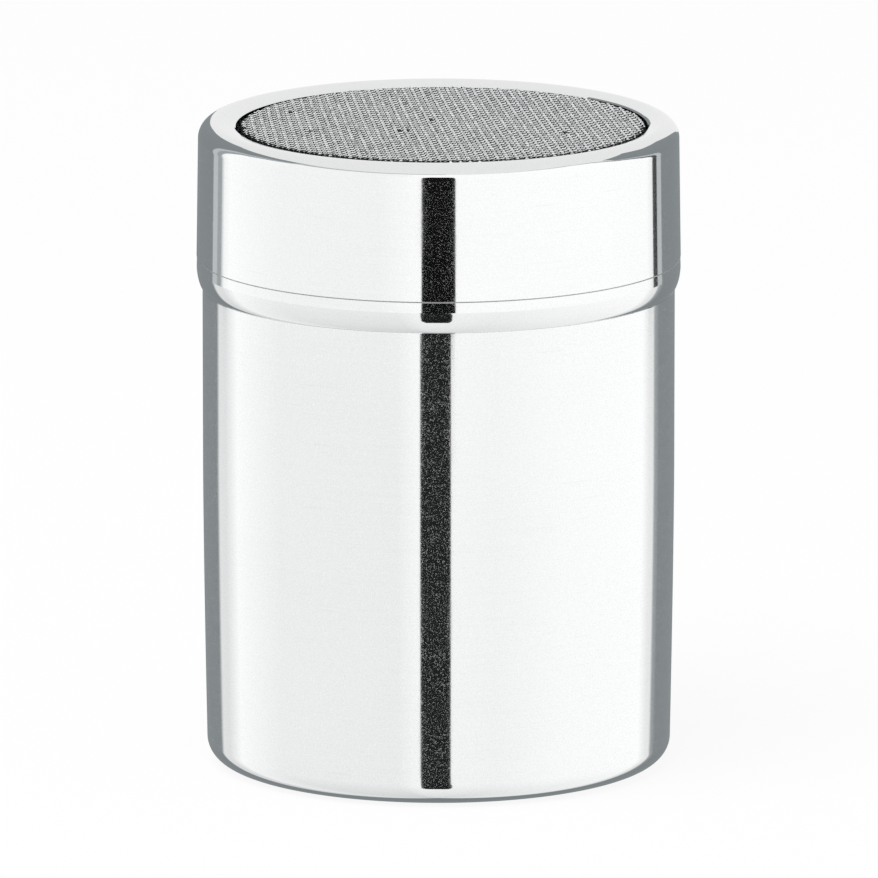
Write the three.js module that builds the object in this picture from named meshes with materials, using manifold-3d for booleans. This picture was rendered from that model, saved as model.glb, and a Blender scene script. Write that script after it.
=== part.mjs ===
import * as THREE from 'three';
import { mergeVertices } from 'three/addons/utils/BufferGeometryUtils.js';
import Module from 'manifold-3d';

// A shaker for sugar, cocoa or flour: a drawn steel canister and a screw lid that carries a woven screen.
// Millimetres, +Z up. The origin is on the table, under the centre of the canister.

// Canister
const totalHeight = 94;
const bodyRadius = 34.1;
const canisterSheet = 0.6;
const baseCornerRadius = 3.3;
const footTaper = 0.55;
const taperHeight = 44;
const panelRadius = 23.5;
const panelRise = 0.8;
const panelSlope = 1.2;
const shoulderCorner = 0.4;
const neckFillet = 0.5;
const lipHeight = 2.2;

// Lid skin
const lidHeight = 24.5;
const lidOverhang = 0.9;
const lidFlare = 0.25;
const lidSheet = 0.55;
const rimWidth = 5;
const rimCornerRadius = 2.5;
const rimDip = 0.6;
const creaseHeight = 4.7;
const creaseWidth = 0.9;
const creaseDepth = 0.2;
const curlWidth = 1.35;
const curlHeight = 3.4;

// Inner parts of the lid
const sleeveSheet = 0.5;
const sleeveCorner = 1;
const ringSheet = 0.6;
const ringStep = 0.6;
const screenPitch = 3.9;
const wireWidth = 0.42;
const wireHeight = 0.3;
const wireOverlap = 0.12;
const borderOverlap = 0.45;
const screenTurn = THREE.MathUtils.degToRad(5);

// Rolled screw thread, right-handed, one start
const threadLead = 5;
const threadDepth = 0.7;
const threadTurns = 1.5;
const threadRise = 7;

// Clearances
const seatGap = 0.3;
const threadGap = 0.4;
const hemGap = 0.15;

// Facets
const segments = 48;
const rowsPerTurn = 8;

// Heights that follow from the sizes above
const lidBottom = totalHeight - lidHeight;
const shoulderTop = lidBottom - hemGap;
const creaseMiddle = lidBottom + creaseHeight;
const rimUnderside = totalHeight - rimDip - lidSheet;
const screenTop = rimUnderside - seatGap;
const screenThickness = 2 * wireHeight - wireOverlap;
const screenBottom = screenTop - screenThickness;
const ringBottom = screenBottom - seatGap - ringSheet;
const sleeveTop = ringBottom - seatGap;
const neckTop = sleeveTop - sleeveSheet - seatGap;
const threadLow = shoulderTop + threadRise;
const threadHigh = threadLow + threadTurns * threadLead;

// Radii that follow from the sizes above
const footRadius = bodyRadius - footTaper;
const lidRadius = bodyRadius + lidOverhang;
const lidTopRadius = lidRadius - lidFlare;
const rimOpening = lidTopRadius - rimWidth;
const rimCrest = lidTopRadius - rimCornerRadius;
const wallInside = Math.min(lidTopRadius, lidRadius - creaseDepth) - lidSheet;
const sleeveRadius = wallInside - seatGap;
const sleeveInside = sleeveRadius - sleeveSheet;
const neckRadius = sleeveInside - threadGap - threadDepth;
const hemOpening = neckRadius + threadDepth + threadGap;
const ringInside = rimOpening + ringStep;

// The ring and the screen fit under the rounded corner of the lid
const cornerRoom = rimCornerRadius - lidSheet - seatGap;
const cornerRise = Math.min(Math.abs(screenTop - totalHeight + rimCornerRadius), cornerRoom);
const ringRadius = rimCrest + Math.sqrt(cornerRoom ** 2 - cornerRise ** 2);
const screenRadius = ringRadius - ringSheet - seatGap;

const wasm = await Module();
wasm.setup();

// Points on an arc or a quarter of an ellipse in the (r, z) plane, both ends included.
function arc(r, z, radiusR, radiusZ, from, to, steps) {
  const points = [];
  for (let i = 0; i <= steps; i += 1) {
    const angle = THREE.MathUtils.degToRad(from + (to - from) * i / steps);
    points.push([r + radiusR * Math.cos(angle), z + radiusZ * Math.sin(angle)]);
  }
  return points;
}

// Merges shared vertices and drops the flat faces that a revolve leaves on its axis.
function weld(geometry) {
  geometry.deleteAttribute('normal');
  geometry.deleteAttribute('uv');
  const merged = mergeVertices(geometry, 1e-5);
  const index = merged.getIndex();
  const faces = [];
  for (let i = 0; i < index.count; i += 3) {
    const [a, b, c] = [index.getX(i), index.getX(i + 1), index.getX(i + 2)];
    if (a !== b && b !== c && c !== a) faces.push(a, b, c);
  }
  merged.setIndex(faces);
  return merged;
}

// Turns a profile, listed upwards on its outside, about the Z axis.
function revolve(profile) {
  const outline = profile.map(([r, z]) => new THREE.Vector2(r, z));
  const solid = new THREE.LatheGeometry(outline, segments);
  solid.rotateX(Math.PI / 2);
  return weld(solid);
}

function closeLoop(profile) {
  return [...profile, profile[0]];
}

// Heights of the rows of vertices that carry the rolled thread, from low to high.
function threadRows(radius) {
  const rows = Math.max(2, Math.round(threadTurns * rowsPerTurn));
  const points = [];
  for (let i = 0; i <= rows; i += 1) {
    points.push([radius, threadLow + (threadHigh - threadLow) * i / rows]);
  }
  return points;
}

// Height of the ridge, 0 to 1, where turns counts along the thread from one crest to the next.
function ridge(turns) {
  const fromCrest = turns - Math.floor(turns) - 0.5;
  return Math.abs(fromCrest) < 0.25 ? Math.cos(2 * Math.PI * fromCrest) ** 2 : 0;
}

// Rolls the thread into both faces of a sheet: out of the neck, or into the sleeve half a turn away.
function rollThread(geometry, direction, halfTurn) {
  const fade = threadLead / 4;
  const position = geometry.getAttribute('position');
  for (let i = 0; i < position.count; i += 1) {
    const [x, y, z] = [position.getX(i), position.getY(i), position.getZ(i)];
    if (z < threadLow || z > threadHigh) continue;
    const turns = z / threadLead - Math.atan2(y, x) / (2 * Math.PI) + halfTurn;
    const ends = THREE.MathUtils.smoothstep(z, threadLow, threadLow + fade)
      * THREE.MathUtils.smoothstep(threadHigh - z, 0, fade);
    const scale = 1 + direction * threadDepth * ridge(turns) * ends / Math.hypot(x, y);
    position.setXY(i, x * scale, y * scale);
  }
  return geometry;
}

function toManifold(geometry) {
  const vertProperties = new Float32Array(geometry.getAttribute('position').array);
  const triVerts = new Uint32Array(geometry.getIndex().array);
  return new wasm.Manifold(new wasm.Mesh({ numProp: 3, vertProperties, triVerts }));
}

function toGeometry(solid) {
  const mesh = solid.getMesh();
  const geometry = new THREE.BufferGeometry();
  geometry.setAttribute('position', new THREE.BufferAttribute(mesh.vertProperties, 3));
  geometry.setIndex(new THREE.BufferAttribute(mesh.triVerts, 1));
  return geometry;
}

// One face of the drawn canister, from the axis out over the base, up the wall and up the neck.
function canisterFace(inset) {
  const corner = Math.min(shoulderCorner, (bodyRadius - neckRadius) * 0.6);
  const fillet = Math.min(neckFillet, bodyRadius - corner - neckRadius);
  const bend = Math.max(corner - inset, canisterSheet / 6);
  return [
    [0, panelRise + inset],
    [panelRadius, panelRise + inset],
    [panelRadius + panelSlope, inset],
    ...arc(footRadius - baseCornerRadius, baseCornerRadius, baseCornerRadius - inset,
      baseCornerRadius - inset, -90, 0, 4),
    [bodyRadius - inset, taperHeight],
    ...arc(bodyRadius - inset - bend, shoulderTop - inset - bend, bend, bend, 0, 90, 3),
    ...arc(neckRadius + fillet, shoulderTop + fillet, fillet + inset, fillet + inset, 270, 180, 2),
    ...threadRows(neckRadius - inset),
  ];
}

// Deep-drawn cup with a raised panel in its base, a shoulder, a threaded neck and a folded lip.
function canister() {
  const lip = [
    ...arc(neckRadius - canisterSheet, neckTop - canisterSheet, canisterSheet, canisterSheet, 0, 180, 4),
    [neckRadius - 2 * canisterSheet, neckTop - lipHeight],
    [neckRadius - canisterSheet, neckTop - lipHeight - canisterSheet / 2],
  ];
  const profile = [...canisterFace(0), ...lip, ...canisterFace(canisterSheet).reverse()];
  return rollThread(revolve(profile), 1, 0);
}

// One face of the lid skin, from the edge of the hem up the wall and over the rim to its opening.
function lidFace(inset) {
  const edge = totalHeight - inset;
  return [
    [hemOpening, lidBottom + inset],
    ...arc(lidRadius - curlWidth, lidBottom + curlHeight, curlWidth - inset, curlHeight - inset, -90, 0, 4),
    [lidRadius - inset, creaseMiddle - creaseWidth / 2],
    [lidRadius - inset - creaseDepth, creaseMiddle],
    [lidRadius - inset, creaseMiddle + creaseWidth / 2],
    ...arc(rimCrest, totalHeight - rimCornerRadius, rimCornerRadius - inset, rimCornerRadius - inset, 0, 90, 4),
    [(rimCrest + rimOpening) / 2, edge - rimDip / 4],
    [rimOpening, edge - rimDip],
  ];
}

// Pressed lid skin: rounded rim, flared wall, crease, and a bead curled in to hold the sleeve.
function lidShell() {
  return revolve(closeLoop([...lidFace(0), ...lidFace(lidSheet).reverse()]));
}

// Inner sleeve with the rolled thread. Its foot is held by the curled bead, its flange lifts the ring.
function threadedSleeve() {
  const beadWidth = curlWidth - lidSheet - seatGap;
  const beadHeight = curlHeight - lidSheet - seatGap;
  const beadTop = creaseMiddle - creaseWidth / 2;
  const cornerRadius = sleeveRadius - sleeveCorner;
  const cornerHeight = sleeveTop - sleeveCorner;
  return rollThread(revolve(closeLoop([
    [sleeveInside, lidBottom + lidSheet + seatGap],
    ...arc(lidRadius - curlWidth, lidBottom + curlHeight, beadWidth, beadHeight, -90, 0, 3),
    [lidRadius - lidSheet - seatGap, beadTop - seatGap],
    [sleeveRadius, beadTop],
    ...threadRows(sleeveRadius),
    ...arc(cornerRadius, cornerHeight, sleeveCorner, sleeveCorner, 0, 90, 3),
    [ringInside, sleeveTop],
    [ringInside, sleeveTop - sleeveSheet],
    ...arc(cornerRadius, cornerHeight, sleeveCorner - sleeveSheet, sleeveCorner - sleeveSheet, 90, 0, 2),
    ...threadRows(sleeveInside).reverse(),
  ])), -1, 0.5);
}

// L-shaped hoop that binds the edge of the screen and presses it up to the rim.
function clampRing() {
  const bend = ringSheet;
  return revolve(closeLoop([
    [ringInside, ringBottom],
    ...arc(ringRadius - bend, ringBottom + bend, bend, bend, -90, 0, 3),
    [ringRadius, screenTop],
    [ringRadius - ringSheet, screenTop],
    [ringRadius - ringSheet, ringBottom + ringSheet],
    [ringInside, ringBottom + ringSheet],
  ]));
}

// One wire of the screen along X, long enough to end inside the border.
function wire(offset, middle, reach) {
  const length = 2 * Math.sqrt(reach ** 2 - (Math.abs(offset) + wireWidth / 2) ** 2);
  const bar = new THREE.BoxGeometry(length, wireWidth, wireHeight);
  bar.translate(0, offset, middle);
  return bar;
}

// Woven screen at a coarse pitch: one layer of wires over the other, fused where they cross.
function meshScreen() {
  const borderInside = rimOpening + borderOverlap;
  const reach = (borderInside + screenRadius) / 2;
  const wires = Math.floor((borderInside - wireWidth) / screenPitch - 0.5);
  let screen = toManifold(revolve(closeLoop([
    [borderInside, screenBottom],
    [screenRadius, screenBottom],
    [screenRadius, screenTop],
    [borderInside, screenTop],
  ])));
  for (let i = -wires - 1; i <= wires; i += 1) {
    const offset = (i + 0.5) * screenPitch;
    const over = wire(offset, screenTop - wireHeight * 0.55, reach);
    const under = wire(offset, screenBottom + wireHeight * 0.55, reach);
    under.rotateZ(Math.PI / 2);
    screen = screen.add(toManifold(weld(over))).add(toManifold(weld(under)));
  }
  return toGeometry(screen).rotateZ(screenTurn);
}

function steel(color, roughness) {
  return new THREE.MeshStandardMaterial({ color, roughness, metalness: 1 });
}

function piece(name, geometry, material) {
  const mesh = new THREE.Mesh(geometry, material);
  mesh.name = name;
  return mesh;
}

const shaker = new THREE.Group();
shaker.name = 'mesh_shaker';
shaker.add(piece('canister', canister(), steel(0xdfe1e2, 0.16)));

const lid = new THREE.Group();
lid.name = 'screw_lid';
lid.add(piece('lid_shell', lidShell(), steel(0xe4e6e7, 0.14)));
lid.add(piece('mesh_screen', meshScreen(), steel(0xb5b9bc, 0.4)));
lid.add(piece('screen_ring', clampRing(), steel(0xcfd2d4, 0.3)));
lid.add(piece('threaded_sleeve', threadedSleeve(), steel(0xd2d5d7, 0.28)));
shaker.add(lid);

export default shaker;
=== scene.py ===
"""Looks of a polished mesh shaker: a drawn steel canister and a screw lid that carries woven wire cloth.

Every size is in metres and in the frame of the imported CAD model. The sheet pieces are turned from profiles
that follow the CAD's own. The screw thread and the wire cloth come from Geometry Nodes. The studio's
reflectors hang round the shaker, and only reflections show them.
"""

import logging
import math
from collections.abc import Mapping, Sequence
from dataclasses import dataclass, field
from enum import Enum
from typing import Any

import bpy
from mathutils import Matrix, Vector

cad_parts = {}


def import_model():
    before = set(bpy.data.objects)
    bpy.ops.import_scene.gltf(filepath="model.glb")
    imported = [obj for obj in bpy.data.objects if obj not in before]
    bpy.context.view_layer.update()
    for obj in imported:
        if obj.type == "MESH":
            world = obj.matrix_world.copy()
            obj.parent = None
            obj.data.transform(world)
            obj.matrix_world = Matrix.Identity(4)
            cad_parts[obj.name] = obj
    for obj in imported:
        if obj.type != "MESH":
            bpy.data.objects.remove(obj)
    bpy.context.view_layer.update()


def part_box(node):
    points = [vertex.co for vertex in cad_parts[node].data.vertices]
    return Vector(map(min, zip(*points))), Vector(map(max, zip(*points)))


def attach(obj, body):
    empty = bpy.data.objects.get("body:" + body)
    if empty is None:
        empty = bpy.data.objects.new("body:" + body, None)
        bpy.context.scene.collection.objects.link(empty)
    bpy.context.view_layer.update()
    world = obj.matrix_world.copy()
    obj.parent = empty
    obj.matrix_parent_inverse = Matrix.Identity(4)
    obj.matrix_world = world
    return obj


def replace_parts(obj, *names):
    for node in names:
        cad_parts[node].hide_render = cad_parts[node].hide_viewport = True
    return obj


logging.basicConfig(level=logging.INFO, format="%(message)s")
LOG = logging.getLogger("shaker")

MM = 0.001
SAME_PLACE = 0.002 * MM

Point = tuple[float, float]
Place = tuple[float, float, float]
Colour = tuple[float, float, float]


class Face(Enum):
    """Where on its sheet a row of a profile lies, as the value that its material reads."""

    OUTER = 0.0
    INNER = 1.0
    CREASE = 2.0


class Thread(Enum):
    """Which way a rolled thread goes: out of the neck, or into the sleeve."""

    OUT = 1.0
    IN = -1.0


class Layer(Enum):
    """One of the two sets of wires in the cloth: its turn in degrees and the side that it starts on."""

    ACROSS = (0.0, 1.0)
    FRONT_TO_BACK = (90.0, -1.0)


class Wiring:
    """Adds nodes to one node tree and joins them."""

    def __init__(self, tree: bpy.types.NodeTree) -> None:
        """Keeps the tree that the nodes go into.

        Args:
            tree: a shader or geometry node tree.
        """
        self.tree = tree

    def add(self, kind: str, inputs: Mapping[str | int, Any] | None = None,
            **settings: Any) -> bpy.types.Node:
        """Adds one node.

        Args:
            kind: the node's type.
            inputs: for each input, by name or number, a socket to join it to or the value that it takes.
            **settings: properties of the node itself.

        Returns:
            The new node.
        """
        node = self.tree.nodes.new(kind)
        for name, value in settings.items():
            setattr(node, name, value)
        for key, value in (inputs or {}).items():
            self.feed(node.inputs[key], value)
        return node

    def feed(self, socket: bpy.types.NodeSocket, value: Any) -> None:
        """Joins an input to a socket, or sets its value.

        Args:
            socket: the input.
            value: an output socket or a plain value.
        """
        if isinstance(value, bpy.types.NodeSocket):
            self.tree.links.new(value, socket)
        else:
            socket.default_value = value

    def math(self, operation: str, *terms: Any) -> bpy.types.NodeSocket:
        """Adds a Math node.

        Args:
            operation: what it does.
            *terms: its inputs, sockets or numbers.

        Returns:
            Its output.
        """
        return self.add("ShaderNodeMath", dict(enumerate(terms)), operation=operation).outputs[0]

    def vector(self, operation: str, *terms: Any) -> bpy.types.Node:
        """Adds a Vector Math node and returns it."""
        return self.add("ShaderNodeVectorMath", dict(enumerate(terms)), operation=operation)

    def scaled(self, vector: Any, scale: Any) -> bpy.types.NodeSocket:
        """Gives a vector or a colour times a number."""
        return self.add("ShaderNodeVectorMath", {0: vector, "Scale": scale}, operation="SCALE").outputs[0]

    def distance(self, first: Any, second: Any) -> bpy.types.NodeSocket:
        """Gives the distance between two places."""
        return self.vector("DISTANCE", first, second).outputs["Value"]

    def product(self, first: Any, second: Any) -> bpy.types.NodeSocket:
        """Gives two numbers' product."""
        return self.math("MULTIPLY", first, second)

    def combine(self, x: Any = 0.0, y: Any = 0.0, z: Any = 0.0) -> bpy.types.NodeSocket:
        """Gives the vector of three numbers."""
        return self.add("ShaderNodeCombineXYZ", {0: x, 1: y, 2: z}).outputs[0]

    def split(self, vector: Any) -> Sequence[bpy.types.NodeSocket]:
        """Gives the three numbers of a vector."""
        return self.add("ShaderNodeSeparateXYZ", {0: vector}).outputs

    def above(self, value: Any, limit: Any) -> bpy.types.NodeSocket:
        """Tells where a number is more than a limit."""
        settings = {"data_type": "FLOAT", "operation": "GREATER_THAN"}
        return self.add("FunctionNodeCompare", {0: value, 1: limit}, **settings).outputs[0]

    def finish(self, result: bpy.types.Node, geometry: bpy.types.NodeSocket, material: Any) -> None:
        """Ends a geometry tree: makes its instances real, sets its material and puts it out.

        Args:
            result: the tree's output node.
            geometry: the geometry.
            material: the socket of the material.
        """
        real = self.add("GeometryNodeRealizeInstances", {0: geometry}).outputs[0]
        dressed = self.add("GeometryNodeSetMaterial", {"Geometry": real, "Material": material})
        self.feed(result.inputs[0], dressed.outputs[0])

    def ramp(self, value: Any, low: Any, high: Any, start: Any = 0.0, end: Any = 1.0,
             shape: str = "SMOOTHSTEP") -> bpy.types.NodeSocket:
        """Adds a Map Range node.

        Args:
            value: what is mapped.
            low: the value that gives start.
            high: the value that gives end.
            start: the first result.
            end: the last result.
            shape: how it goes from one to the other.

        Returns:
            The result.
        """
        terms = {0: value, 1: low, 2: high, 3: start, 4: end}
        return self.add("ShaderNodeMapRange", terms, interpolation_type=shape).outputs[0]

    def noise(self, vector: Any, scale: Any, detail: float = 2.0,
              seed: float = 0.0) -> bpy.types.NodeSocket:
        """Adds a Noise Texture.

        Args:
            vector: the coordinates that it reads.
            scale: features per metre.
            detail: octaves.
            seed: its place on the fourth axis.

        Returns:
            Its factor, about 0.5 in the middle.
        """
        terms = {"Vector": vector, "W": seed, "Scale": scale, "Detail": detail}
        return self.add("ShaderNodeTexNoise", terms, noise_dimensions="4D").outputs[0]


def named_sockets(tree: bpy.types.NodeTree, inputs: Mapping[str, tuple[str, Any]],
                  outputs: Mapping[str, str]) -> tuple[bpy.types.Node, bpy.types.Node]:
    """Gives a node group its inputs and outputs.

    Args:
        tree: the group.
        inputs: socket type and first value of each input, by name.
        outputs: socket type of each output, by name.

    Returns:
        The group's input and output nodes.
    """
    for name, (kind, value) in inputs.items():
        socket = tree.interface.new_socket(name, in_out="INPUT", socket_type=kind)
        if value is not None:
            socket.default_value = value
    for name, kind in outputs.items():
        tree.interface.new_socket(name, in_out="OUTPUT", socket_type=kind)
    return tree.nodes.new("NodeGroupInput"), tree.nodes.new("NodeGroupOutput")


def new_material(name: str, colour: Colour = (1.0, 1.0, 1.0)) -> tuple[bpy.types.Material, Wiring]:
    """Makes a material with nodes.

    Args:
        name: its name.
        colour: its colour in a solid view.

    Returns:
        The material and the wiring of its tree.
    """
    material = bpy.data.materials.new(name)
    material.use_nodes = True
    material.diffuse_color = (*colour, 1.0)
    return material, Wiring(material.node_tree)


def new_piece(name: str, points: Sequence[Sequence[float]] = (),
              faces: Sequence[Sequence[int]] = ()) -> bpy.types.Object:
    """Makes an object at the origin.

    Args:
        name: its name and its mesh's.
        points: the mesh's points.
        faces: the mesh's faces, as numbers of points.

    Returns:
        The object, linked to the scene.
    """
    mesh = bpy.data.meshes.new(name)
    mesh.from_pydata(points, [], faces)
    piece = bpy.data.objects.new(name, mesh)
    bpy.context.scene.collection.objects.link(piece)
    return piece


# Finishes


def polish_marks() -> bpy.types.NodeTree:
    """Builds the group of marks that polishing and use leave on steel sheet.

    The pattern runs round the shaker's axis: lines along the wall's circles, and circles on the rim and the
    base. Grain shows on the walls only. Each mark is a noise, and the ends of its ramp set how much of the
    surface it takes.

    Returns:
        The shader node group, which puts out a roughness, a height, a tint and how polished the surface is.
    """
    tree = bpy.data.node_groups.new("Polish Marks", "ShaderNodeTree")
    defaults = {
        "Roughness": 0.06, "Grain Roughness": 0.03, "Grain Scale": 7000.0, "Grain Tint": 0.03,
        "Grain Haze": 0.15, "Line Tint": 0.03, "Smudge Roughness": 0.03, "Hairline Tint": 0.05,
    }
    inputs = {name: ("NodeSocketFloat", value) for name, value in defaults.items()}
    outputs = dict.fromkeys(("Roughness", "Height", "Tint", "Polish"), "NodeSocketFloat")
    given, result = named_sockets(tree, inputs, outputs)
    wiring = Wiring(tree)
    place = wiring.add("ShaderNodeTexCoord").outputs["Object"]
    value = given.outputs
    x, y, z = wiring.split(place)
    radius = wiring.math("SQRT", wiring.math("ADD", wiring.product(x, x), wiring.product(y, y)))
    along = wiring.math("ADD", z, radius)

    def round_lines(fine: float, coarse: float, seed: float, detail: float) -> bpy.types.NodeSocket:
        """Adds noise drawn out round the axis.

        Args:
            fine: features per metre across the lines.
            coarse: features per metre along them.
            seed: the noise's seed.
            detail: octaves.

        Returns:
            The noise's factor.
        """
        spread = wiring.combine(wiring.product(x, coarse), wiring.product(y, coarse),
                                wiring.product(along, fine))
        return wiring.noise(spread, 1.0, detail, seed)

    normal = wiring.add("ShaderNodeNewGeometry").outputs["Normal"]
    on_walls = wiring.ramp(wiring.math("ABSOLUTE", wiring.split(normal)[2]), 0.04, 0.2, 1.0, 0.0)
    grains = wiring.ramp(wiring.noise(place, value["Grain Scale"], 1.0, 1.0), 0.5, 0.72)
    grains = wiring.product(grains, on_walls)
    fine = wiring.ramp(wiring.noise(place, value["Grain Scale"], 1.0, 8.0), 0.3, 0.7)
    smudges = wiring.ramp(wiring.noise(place, 70.0, 3.0, 2.0), 0.48, 0.7)
    lines = wiring.ramp(round_lines(5200.0, 45.0, 3.0, 3.0), 0.35, 0.75)
    patches = wiring.ramp(wiring.noise(place, 40.0, 2.0, 4.0), 0.4, 0.62)
    hairlines = wiring.ramp(round_lines(3600.0, 90.0, 5.0, 1.0), 0.7, 0.76)
    waves = wiring.noise(place, 2200.0, 2.0, 7.0)

    rough = wiring.math("MULTIPLY_ADD", grains, value["Grain Roughness"], value["Roughness"])
    rough = wiring.math("MULTIPLY_ADD", smudges, value["Smudge Roughness"], rough)
    darker = wiring.product(wiring.product(lines, patches), value["Line Tint"])
    darker = wiring.math("MULTIPLY_ADD", hairlines, value["Hairline Tint"], darker)
    darker = wiring.math("MULTIPLY_ADD", fine, value["Grain Tint"], darker)
    haze = wiring.product(grains, value["Grain Haze"])
    wiring.feed(result.inputs["Roughness"], rough)
    wiring.feed(result.inputs["Height"], wiring.math("MULTIPLY_ADD", lines, 0.02, wiring.product(waves, 0.1)))
    wiring.feed(result.inputs["Tint"], wiring.math("SUBTRACT", 1.0, darker))
    wiring.feed(result.inputs["Polish"], wiring.math("SUBTRACT", 1.0, haze))
    return tree


@dataclass(frozen=True)
class SteelSheet:
    """Finish of a steel sheet: bright outside, and duller on the face that is never buffed."""

    name: str
    colour: Colour
    roughness: float
    inner_roughness: float
    grain_haze: float
    grain_roughness: float = 0.03
    grain_scale: float = 5000.0
    grain_tint: float = 0.06
    line_tint: float = 0.022
    smudge_roughness: float = 0.02
    bump: float = 0.05
    bump_height: float = 0.01 * MM
    crease_shade: float = 0.22

    def build(self, marks: bpy.types.NodeTree) -> bpy.types.Material:
        """Builds the material.

        Args:
            marks: the polish marks group.

        Returns:
            The material.
        """
        material, wiring = new_material(self.name, self.colour)
        steel = material.node_tree.nodes["Principled BSDF"]
        worn = wiring.add("ShaderNodeGroup", node_tree=marks)
        face = wiring.add("ShaderNodeAttribute", attribute_name="inner_face").outputs["Fac"]
        base = wiring.ramp(face, 0.0, 1.0, self.roughness, self.inner_roughness, "LINEAR")
        # Painted shade in the crease: rows marked CREASE are darkened, and also made rougher.
        shade_mask = wiring.ramp(face, 1.0, 2.0, 0.0, self.crease_shade, "LINEAR")
        values = {
            "Roughness": wiring.math("ADD", base, shade_mask), "Grain Haze": self.grain_haze,
            "Grain Roughness": self.grain_roughness, "Grain Scale": self.grain_scale,
            "Grain Tint": self.grain_tint, "Line Tint": self.line_tint,
            "Smudge Roughness": self.smudge_roughness,
        }
        for name, value in values.items():
            wiring.feed(worn.inputs[name], value)
        tint = wiring.scaled(self.colour, wiring.math("SUBTRACT", worn.outputs["Tint"], shade_mask))
        relief = wiring.add("ShaderNodeBump", {"Strength": self.bump, "Distance": self.bump_height,
                                               "Height": worn.outputs["Height"]})
        wiring.feed(steel.inputs["Metallic"], worn.outputs["Polish"])
        wiring.feed(steel.inputs["Base Color"], tint)
        wiring.feed(steel.inputs["Roughness"], worn.outputs["Roughness"])
        wiring.feed(steel.inputs["Normal"], relief.outputs[0])
        return material


@dataclass(frozen=True)
class DrawnWire:
    """Finish of one set of the cloth's stainless wires, with painted shade that darkens them from their
    crests down between them.
    """

    name: str
    bright: Colour = (0.99, 0.995, 1.0)
    shade_colour: Colour = (0.03, 0.033, 0.035)
    trough: float = -0.05
    crest: float = 0.24
    roughness: float = 0.2
    roughness_spread: float = 0.16
    patch_scale: float = 900.0
    patch_depth: float = 0.3
    kink_scale: float = 300.0
    draw_scale: float = 5200.0
    speck_scale: float = 3200.0
    speck_depth: float = 0.5
    bump: float = 0.2
    bump_height: float = 0.02 * MM

    def build(self) -> bpy.types.Material:
        """Builds the material.

        Returns:
            The material.
        """
        material, wiring = new_material(self.name, self.bright)
        steel = material.node_tree.nodes["Principled BSDF"]
        place = wiring.add("ShaderNodeTexCoord").outputs["Object"]
        patches = wiring.noise(place, self.patch_scale, 2.0, 11.0)
        patches = wiring.ramp(patches, 0.4, 0.75, 0.0, self.patch_depth)
        drawn_out = wiring.vector("MULTIPLY", place, (self.kink_scale, 4 * self.kink_scale, 0.0)).outputs[0]
        kinks = wiring.ramp(wiring.noise(drawn_out, 1.0, 0.0, 13.0), 0.74, 0.8)
        depth = wiring.add("ShaderNodeAttribute", attribute_name="crest").outputs["Fac"]
        # Painted shade: from its crest down to its trough, a wire's colour goes to the shade colour where the
        # wires shade each other.
        low = wiring.ramp(depth, self.trough, self.crest, 1.0, 0.0, "LINEAR")
        specks = wiring.noise(place, self.speck_scale, 0.0, 14.0)
        specks = wiring.ramp(specks, 0.54, 0.66, 0.0, self.speck_depth)
        # The darkness joins that painted shade with random patches, kinks and specks.
        darkness = wiring.math("MAXIMUM", low, wiring.math("MAXIMUM", patches, kinks))
        darkness = wiring.math("MAXIMUM", darkness, specks)
        draw_marks = wiring.noise(place, self.draw_scale, 2.0, 12.0)
        # The Mix node's sockets for colours come after those for numbers and vectors.
        colour = wiring.add("ShaderNodeMix", {"Factor": darkness}, data_type="RGBA")
        colour.inputs[6].default_value = (*self.bright, 1.0)
        colour.inputs[7].default_value = (*self.shade_colour, 1.0)
        rough = wiring.math("MULTIPLY_ADD", draw_marks, self.roughness_spread, self.roughness)
        relief = wiring.add("ShaderNodeBump", {
            "Strength": self.bump, "Distance": self.bump_height, "Height": draw_marks})
        steel.inputs["Metallic"].default_value = 1.0
        wiring.feed(steel.inputs["Base Color"], colour.outputs[2])
        wiring.feed(steel.inputs["Roughness"], rough)
        wiring.feed(steel.inputs["Normal"], relief.outputs[0])
        return material


# Shapes turned from sheet


def parts(count: int) -> list[float]:
    """Gives where each of a whole's equal parts ends, as a share of the whole."""
    return [i / count for i in range(1, count + 1)]


@dataclass
class Profile:
    """Outline of a sheet in the plane of radius and height, listed upwards on its outer face."""

    support: float = 0.04 * MM
    rows: list[tuple[float, float, Face]] = field(default_factory=list)

    def start(self, radius: float, height: float) -> None:
        """Begins the outline at a point of the outer face."""
        self.rows.append((radius, height, Face.OUTER))

    def run(self, radius: float, height: float, spacing: float = 4 * MM) -> None:
        """Adds a straight run with a supporting row near each end, so that its shading stays flat.

        Args:
            radius: the radius where it ends.
            height: the height where it ends.
            spacing: the most that lies between two rows.
        """
        last_radius, last_height, face = self.rows[-1]
        length = math.hypot(radius - last_radius, height - last_height)
        shares = [1.0]
        if length > 5 * self.support:
            edge = self.support / length
            count = max(1, math.ceil(length / spacing))
            shares = [edge, *parts(count)[:-1], 1 - edge, 1.0]
        for share in shares:
            self.rows.append((last_radius + (radius - last_radius) * share,
                              last_height + (height - last_height) * share, face))

    def arc(self, middle: Point, radii: Point, start: float, end: float, steps: int) -> None:
        """Adds an arc of a circle or an ellipse, and a straight run to where it begins.

        Args:
            middle: its centre.
            radii: its half widths along radius and height.
            start: the angle where it begins, in degrees.
            end: the angle where it ends.
            steps: its chords.
        """
        for i in range(steps + 1):
            angle = math.radians(start + (end - start) * i / steps)
            radius = middle[0] + radii[0] * math.cos(angle)
            height = middle[1] + radii[1] * math.sin(angle)
            if i == 0:
                self.run(radius, height)
            else:
                self.rows.append((radius, height, self.rows[-1][2]))

    def through(self, points: Sequence[Point]) -> None:
        """Adds rows at these points as they are."""
        self.rows.extend((radius, height, self.rows[-1][2]) for radius, height in points)

    def turn_to(self, face: Face) -> None:
        """Puts what follows on the other face of the sheet."""
        radius, height, _ = self.rows[-1]
        self.rows[-1] = (radius, height, face)


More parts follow.
